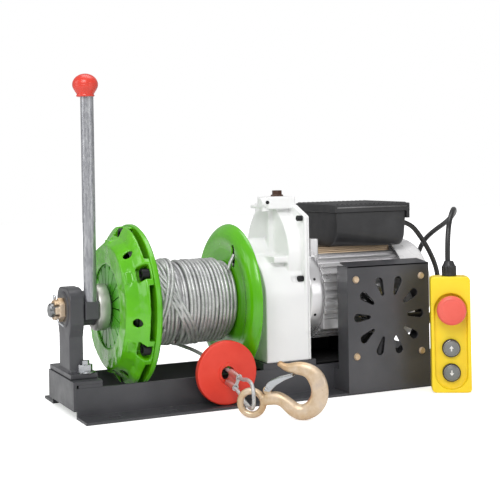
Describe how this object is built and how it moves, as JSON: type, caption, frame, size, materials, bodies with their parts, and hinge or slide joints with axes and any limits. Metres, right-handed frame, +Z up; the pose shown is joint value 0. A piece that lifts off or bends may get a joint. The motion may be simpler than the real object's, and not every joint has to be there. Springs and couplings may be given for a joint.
{
  "type": "electric winch",
  "caption": "Electric drum winch on a steel angle base, with hand-lever clutch, geared motor, guard, rope hook and push-button pendant",
  "frame": {"origin": "centre of the foot slot pattern, on the floor plane under the base", "axes": "+X along the drum shaft from the lever end to the motor end, +Y to the back, +Z up"},
  "size_m": [0.7082, 0.4995, 0.5192],
  "materials": {
    "frame_paint": "satin dark grey powder coat",
    "bearing_steel": "ground bearing steel",
    "zinc": "bright zinc plating",
    "white_paint": "off-white gloss paint on a casting",
    "black_screw": "black oxide screw",
    "brown_plastic": "brown moulded plug",
    "cast_aluminium": "cast and machined aluminium",
    "cover_aluminium": "silver painted pressing",
    "black_plastic": "black moulded plastic",
    "yellow_zinc": "yellow passivated zinc on steel",
    "red_rubber": "red moulded rubber",
    "ferrule": "pressed aluminium sleeve",
    "rope_steel": "galvanised wire rope",
    "yellow_plastic": "yellow moulded plastic",
    "grey_plastic": "grey button collars",
    "cable_rubber": "black cable sheath",
    "shaft_steel": "turned steel",
    "lining": "friction lining on a steel core",
    "gear_steel": "cut gear steel",
    "galvanised": "galvanised tube with a mottled spangle",
    "red_plastic": "red moulded plastic",
    "green_paint": "bright green paint",
    "spring_steel": "blued spring steel",
    "plate_iron": "machined cast iron"
  },
  "bodies": {
    "base": {"frame_rail_front": "frame_paint", "frame_rail_rear": "frame_paint", "frame_end_left": "frame_paint", "frame_packing_strip": "frame_paint", "frame_end_right": "frame_paint", "gearbox_bed_plate": "frame_paint", "bearing_stand": "frame_paint", "stand_bearing_outer_ring": "bearing_steel", "stand_fasteners": "zinc", "gear_housing": "white_paint", "gear_cover": "white_paint", "housing_screws": "black_screw", "oil_plug": "brown_plastic", "motor_front_shield": "cast_aluminium", "motor_body": "cast_aluminium", "motor_rear_shield": "cast_aluminium", "motor_fan_cover": "cover_aluminium", "terminal_box": "black_plastic", "terminal_box_lid": "black_plastic", "terminal_box_gland": "black_plastic", "guard": "frame_paint", "guard_screws": "yellow_zinc", "cooling_fan_frame": "black_plastic", "stop_disc": "red_rubber", "hook": "yellow_zinc", "rope_ferrule": "ferrule", "rope_end": "rope_steel", "pendant_front": "yellow_plastic", "pendant_back": "yellow_plastic", "button_collars": "grey_plastic", "pendant_gland": "black_plastic", "control_cable_out": "cable_rubber", "control_cable_in": "cable_rubber", "control_cable_coil": "cable_rubber"},
    "main_shaft": {"drum_shaft": "shaft_steel", "castle_nut": "yellow_zinc", "split_pin": "zinc", "stand_bearing_inner_ring": "bearing_steel", "friction_disc": "lining", "output_gear": "gear_steel"},
    "lever": {"lever_hub": "frame_paint", "lever_rod": "galvanised", "lever_ball": "red_plastic"},
    "release": {"release_bearing": "bearing_steel"},
    "drum": {"clutch_cover": "green_paint", "clutch_cover_screws": "black_screw", "diaphragm_spring": "spring_steel", "drum_clutch_disc": "green_paint", "drum_barrel": "green_paint", "drum_right_flange": "green_paint", "rope_winding": "rope_steel"},
    "pressure": {"pressure_plate": "plate_iron"},
    "counter": {"countershaft": "gear_steel"},
    "rotor": {"motor_rotor": "gear_steel", "motor_fan": "black_plastic"},
    "fan_rotor": {"cooling_fan_rotor": "black_plastic"},
    "latch": {"hook_latch": "zinc"},
    "estop": {"estop_button": "red_plastic"},
    "up": {"up_button": "black_plastic"},
    "down": {"down_button": "black_plastic"}
  },
  "joints": [
    {"name": "rotor_spin", "type": "hinge", "parent": "base", "child": "rotor", "pos_m": [0, 0, 0.156], "axis": [1, 0, 0], "continuous": true},
    {"name": "countershaft_spin", "type": "hinge", "parent": "base", "child": "counter", "pos_m": [0, 0.02, 0.22517], "axis": [1, 0, 0], "continuous": true},
    {"name": "shaft_spin", "type": "hinge", "parent": "base", "child": "main_shaft", "pos_m": [0, 0, 0.156], "axis": [1, 0, 0], "continuous": true},
    {"name": "drum_spin", "type": "hinge", "parent": "base", "child": "drum", "pos_m": [0, 0, 0.156], "axis": [1, 0, 0], "continuous": true},
    {"name": "lever_swing", "type": "hinge", "parent": "base", "child": "lever", "pos_m": [0, 0, 0.156], "axis": [1, 0, 0], "range_deg": [0, 35]},
    {"name": "release_slide", "type": "slide", "parent": "base", "child": "release", "axis": [1, 0, 0], "range_m": [0, 0.0041]},
    {"name": "plate_lift", "type": "slide", "parent": "drum", "child": "pressure", "axis": [-1, 0, 0], "range_m": [0, 0.00105]},
    {"name": "cooling_fan_spin", "type": "hinge", "parent": "base", "child": "fan_rotor", "pos_m": [0.19805, 0, 0.1233], "axis": [0, 1, 0], "continuous": true},
    {"name": "hook_latch_swing", "type": "hinge", "parent": "base", "child": "latch", "pos_m": [-0.06565, -0.20055, 0.0445], "axis": [0.6397, 0.7686, 0], "range_deg": [0, 24], "stiffness_Nm_per_rad": 0.08, "springref_deg": -17.19},
    {"name": "estop_press", "type": "slide", "parent": "base", "child": "estop", "axis": [0.503, 0.8643, 0], "range_m": [0, 0.005], "stiffness_N_per_m": 600, "springref_m": -0.002},
    {"name": "up_press", "type": "slide", "parent": "base", "child": "up", "axis": [0.503, 0.8643, 0], "range_m": [0, 0.0025], "stiffness_N_per_m": 400, "springref_m": -0.001},
    {"name": "down_press", "type": "slide", "parent": "base", "child": "down", "axis": [0.503, 0.8643, 0], "range_m": [0, 0.0025], "stiffness_N_per_m": 400, "springref_m": -0.001}
  ],
  "couplings": [
    {"joint": "countershaft_spin", "follows": "rotor_spin", "ratio": -0.14286},
    {"joint": "shaft_spin", "follows": "rotor_spin", "ratio": 0.028571},
    {"joint": "release_slide", "follows": "lever_swing", "m_per_rad": 0.0065481},
    {"joint": "plate_lift", "follows": "lever_swing", "m_per_rad": 0.001637}
  ]
}
